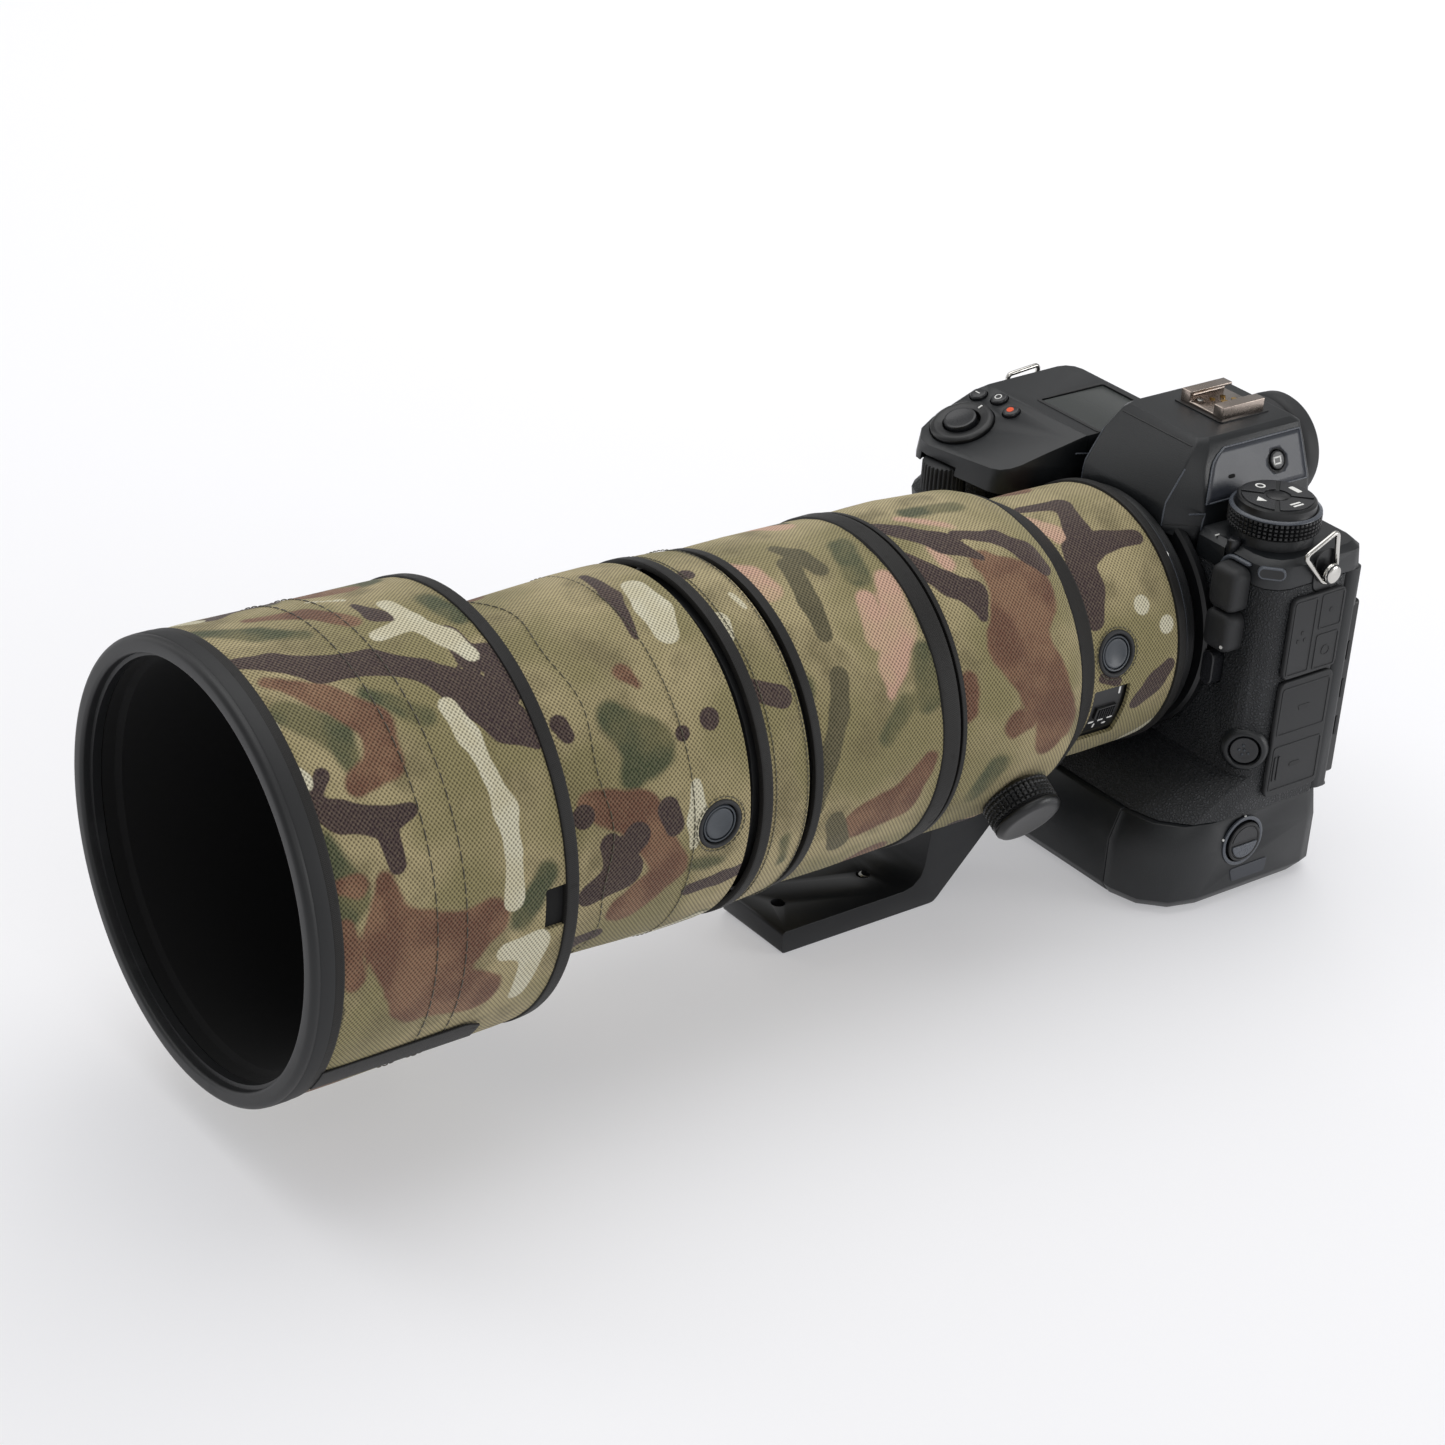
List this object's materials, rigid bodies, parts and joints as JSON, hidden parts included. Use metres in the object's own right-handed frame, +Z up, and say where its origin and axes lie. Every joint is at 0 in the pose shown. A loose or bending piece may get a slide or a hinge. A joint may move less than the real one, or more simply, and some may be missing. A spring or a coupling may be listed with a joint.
{
  "type": "mirrorless camera with telephoto lens",
  "caption": "Black mirrorless camera with a vertical grip and a long telephoto lens in a camouflage fabric coat, with hood and tripod foot.",
  "frame": {"origin": "on the camera's flat base, below the optical axis and in the plane of the lens mount", "axes": "+Z up, -Y along the optical axis to the lens's front, +X to the side with the connector doors"},
  "size_m": [0.1554, 0.4173, 0.151],
  "materials": {
    "body_shell": "black magnesium shell with a fine textured paint",
    "grip_leather": "fine leather-grain rubber",
    "soft_rubber": "smooth matt rubber",
    "controls": "satin black controls",
    "shoe_steel": "brushed steel rails",
    "ring_steel": "bright plated wire",
    "barrel": "black painted alloy",
    "glass": "coated glass",
    "screen": "dark screen glass",
    "display": "grey reflective display",
    "camouflage": "coarse woven cloth printed in olive, brown and cream patches",
    "hood_inside": "matt black shell"
  },
  "bodies": {
    "camera": {"base_casing": "body_shell", "front_casing": "grip_leather", "rear_casing": "body_shell", "hand_grip": "grip_leather", "grip_top_cover": "body_shell", "port_top_cover": "body_shell", "viewfinder_housing": "body_shell", "mount_ring": "shoe_steel", "sensor_unit": "glass", "eyecup": "soft_rubber", "eyepiece_lens": "glass", "hot_shoe": "shoe_steel", "top_display": "display"},
    "lens": {"lens_barrel": "barrel", "front_barrel": "barrel", "lens_mount": "shoe_steel", "front_element": "glass", "rear_element": "glass", "rear_sleeve": "camouflage", "front_sleeve": "camouflage"},
    "focus_group": {"focus_group": "glass"},
    "focus_ring": {"focus_ring": "soft_rubber", "focus_sleeve": "camouflage"},
    "control_ring": {"control_ring": "soft_rubber", "control_sleeve": "camouflage"},
    "collar": {"collar_ring": "barrel", "collar_sleeve": "camouflage", "tripod_foot": "barrel"},
    "clamp_knob": {"clamp_knob": "barrel"},
    "hood": {"hood_shell": "hood_inside", "hood_rim": "soft_rubber", "hood_sleeve": "camouflage"},
    "hood_lock": {"hood_lock_button": "controls"},
    "battery": {"battery": "controls", "battery_cover": "body_shell"},
    "battery_latch": {"battery_latch": "controls"},
    "front_fn_button": {"front_fn_button": "soft_rubber"},
    "rear_fn_button": {"rear_fn_button": "soft_rubber"},
    "focus_switch": {"focus_switch": "controls"},
    "shutter_button": {"shutter_button": "controls"},
    "power_switch": {"power_switch": "controls"},
    "record_button": {"record_button": "controls"},
    "iso_button": {"iso_button": "controls"},
    "exposure_button": {"exposure_button": "controls"},
    "front_dial": {"front_dial": "controls"},
    "rear_dial": {"rear_dial": "controls"},
    "release_dial": {"release_dial": "controls"},
    "dial_lock_button": {"dial_lock_button": "controls"},
    "view_button": {"view_button": "controls"},
    "lens_release_button": {"lens_release_button": "controls"},
    "focus_mode_button": {"focus_mode_button": "controls"},
    "sync_cover": {"sync_cover": "soft_rubber"},
    "remote_cover": {"remote_cover": "soft_rubber"},
    "strap_ring_port": {"strap_ring_port": "ring_steel"},
    "strap_ring_grip": {"strap_ring_grip": "ring_steel"},
    "audio_door": {"audio_door": "soft_rubber"},
    "video_door": {"video_door": "soft_rubber"},
    "monitor_bracket": {"monitor_bracket": "body_shell"},
    "monitor": {"monitor": "screen"},
    "multi_selector": {"multi_selector": "controls"}
  },
  "joints": [
    {"name": "lens_twist", "type": "hinge", "parent": "camera", "child": "lens", "pos_m": [0, 0, 0.083], "axis": [0, 1, 0], "range_deg": [0, 60]},
    {"name": "focus_travel", "type": "slide", "parent": "lens", "child": "focus_group", "axis": [0, 1, 0], "range_m": [-0.02, 0.02]},
    {"name": "focus_ring_turn", "type": "hinge", "parent": "lens", "child": "focus_ring", "pos_m": [0, -0.14, 0.083], "axis": [0, 1, 0], "continuous": true},
    {"name": "control_ring_turn", "type": "hinge", "parent": "lens", "child": "control_ring", "pos_m": [0, -0.18, 0.083], "axis": [0, 1, 0], "continuous": true},
    {"name": "collar_turn", "type": "hinge", "parent": "lens", "child": "collar", "pos_m": [0, -0.085, 0.083], "axis": [0, 1, 0], "continuous": true},
    {"name": "knob_turn", "type": "hinge", "parent": "collar", "child": "clamp_knob", "pos_m": [0.0403, -0.08, 0.0578], "axis": [0.848, 0, -0.5299], "range_deg": [0, 360]},
    {"name": "hood_twist", "type": "hinge", "parent": "lens", "child": "hood", "pos_m": [0, -0.27, 0.083], "axis": [0, 1, 0], "range_deg": [0, 40]},
    {"name": "hood_lock_press", "type": "slide", "parent": "hood", "child": "hood_lock", "axis": [-1, 0, 0], "range_m": [0, 0.0012], "stiffness_N_per_m": 150, "springref_m": -0.0006},
    {"name": "front_fn_press", "type": "slide", "parent": "lens", "child": "front_fn_button", "axis": [-0.9994, 0, -0.0349], "range_m": [0, 0.0008], "stiffness_N_per_m": 150, "springref_m": -0.0004},
    {"name": "rear_fn_press", "type": "slide", "parent": "lens", "child": "rear_fn_button", "axis": [-0.9744, 0, -0.225], "range_m": [0, 0.0008], "stiffness_N_per_m": 150, "springref_m": -0.0004},
    {"name": "focus_switch_slide", "type": "slide", "parent": "lens", "child": "focus_switch", "axis": [0.2588, 0, 0.9659], "range_m": [0, 0.003]},
    {"name": "battery_slide", "type": "slide", "parent": "camera", "child": "battery", "axis": [1, 0, 0], "range_m": [0, 0.07]},
    {"name": "battery_latch_turn", "type": "hinge", "parent": "battery", "child": "battery_latch", "pos_m": [0.0635, 0.008, 0.021], "axis": [1, 0, 0], "range_deg": [0, 90]},
    {"name": "shutter_press", "type": "slide", "parent": "camera", "child": "shutter_button", "axis": [0, 0.3584, -0.9336], "range_m": [0, 0.0005], "stiffness_N_per_m": 150, "springref_m": -0.00025},
    {"name": "power_turn", "type": "hinge", "parent": "camera", "child": "power_switch", "pos_m": [-0.069, -0.014, 0.12369], "axis": [0, -0.3584, 0.9336], "range_deg": [-20, 20]},
    {"name": "record_press", "type": "slide", "parent": "camera", "child": "record_button", "axis": [0, 0.3584, -0.9336], "range_m": [0, 0.0007], "stiffness_N_per_m": 150, "springref_m": -0.00035},
    {"name": "iso_press", "type": "slide", "parent": "camera", "child": "iso_button", "axis": [0, 0.3584, -0.9336], "range_m": [0, 0.0007], "stiffness_N_per_m": 150, "springref_m": -0.00035},
    {"name": "exposure_press", "type": "slide", "parent": "camera", "child": "exposure_button", "axis": [0, 0.3584, -0.9336], "range_m": [0, 0.0007], "stiffness_N_per_m": 150, "springref_m": -0.00035},
    {"name": "front_dial_turn", "type": "hinge", "parent": "camera", "child": "front_dial", "pos_m": [-0.065, -0.0235, 0.1085], "axis": [0, 0, 1], "continuous": true},
    {"name": "rear_dial_turn", "type": "hinge", "parent": "camera", "child": "rear_dial", "pos_m": [-0.062, 0.044, 0.119], "axis": [0, 0, 1], "continuous": true},
    {"name": "release_dial_turn", "type": "hinge", "parent": "camera", "child": "release_dial", "pos_m": [0.044, 0.0215, 0.121], "axis": [0, 0, 1], "range_deg": [-140, 140]},
    {"name": "dial_lock_press", "type": "slide", "parent": "camera", "child": "dial_lock_button", "axis": [0, 0, -1], "range_m": [0, 0.001], "stiffness_N_per_m": 150, "springref_m": -0.0005},
    {"name": "view_press", "type": "slide", "parent": "camera", "child": "view_button", "axis": [-0.9255, 0, -0.3786], "range_m": [0, 0.0006], "stiffness_N_per_m": 150, "springref_m": -0.0003},
    {"name": "lens_release_press", "type": "slide", "parent": "camera", "child": "lens_release_button", "axis": [0, 1, 0], "range_m": [0, 0.001], "stiffness_N_per_m": 150, "springref_m": -0.0005},
    {"name": "focus_mode_press", "type": "slide", "parent": "camera", "child": "focus_mode_button", "axis": [-0.7071, 0.7071, 0], "range_m": [0, 0.0008], "stiffness_N_per_m": 150, "springref_m": -0.0004},
    {"name": "sync_cover_open", "type": "hinge", "parent": "camera", "child": "sync_cover", "pos_m": [0.0545, 0.0032, 0.108], "axis": [0, 0, 1], "range_deg": [0, 100]},
    {"name": "remote_cover_open", "type": "hinge", "parent": "camera", "child": "remote_cover", "pos_m": [0.0545, 0.0032, 0.094], "axis": [0, 0, 1], "range_deg": [0, 100]},
    {"name": "port_ring_swing", "type": "hinge", "parent": "camera", "child": "strap_ring_port", "pos_m": [0.065, 0.027, 0.1154], "axis": [1, 0, 0], "range_deg": [-60, 60]},
    {"name": "grip_ring_swing", "type": "hinge", "parent": "camera", "child": "strap_ring_grip", "pos_m": [-0.0845, 0.027, 0.118], "axis": [1, 0, 0], "range_deg": [-60, 60]},
    {"name": "audio_door_open", "type": "hinge", "parent": "camera", "child": "audio_door", "pos_m": [0.0656, 0.037, 0.092], "axis": [0, 0, 1], "range_deg": [0, 110]},
    {"name": "video_door_open", "type": "hinge", "parent": "camera", "child": "video_door", "pos_m": [0.0656, 0.037, 0.057], "axis": [0, 0, 1], "range_deg": [0, 110]},
    {"name": "bracket_tilt", "type": "hinge", "parent": "camera", "child": "monitor_bracket", "pos_m": [0.016, 0.0467, 0.0325], "axis": [-1, 0, 0], "range_deg": [0, 45]},
    {"name": "screen_tilt", "type": "hinge", "parent": "monitor_bracket", "child": "monitor", "pos_m": [0.016, 0.0473, 0.097], "axis": [1, 0, 0], "range_deg": [0, 90]},
    {"name": "selector_press", "type": "slide", "parent": "camera", "child": "multi_selector", "axis": [0, -1, 0], "range_m": [0, 0.0008], "stiffness_N_per_m": 150, "springref_m": -0.0004}
  ]
}
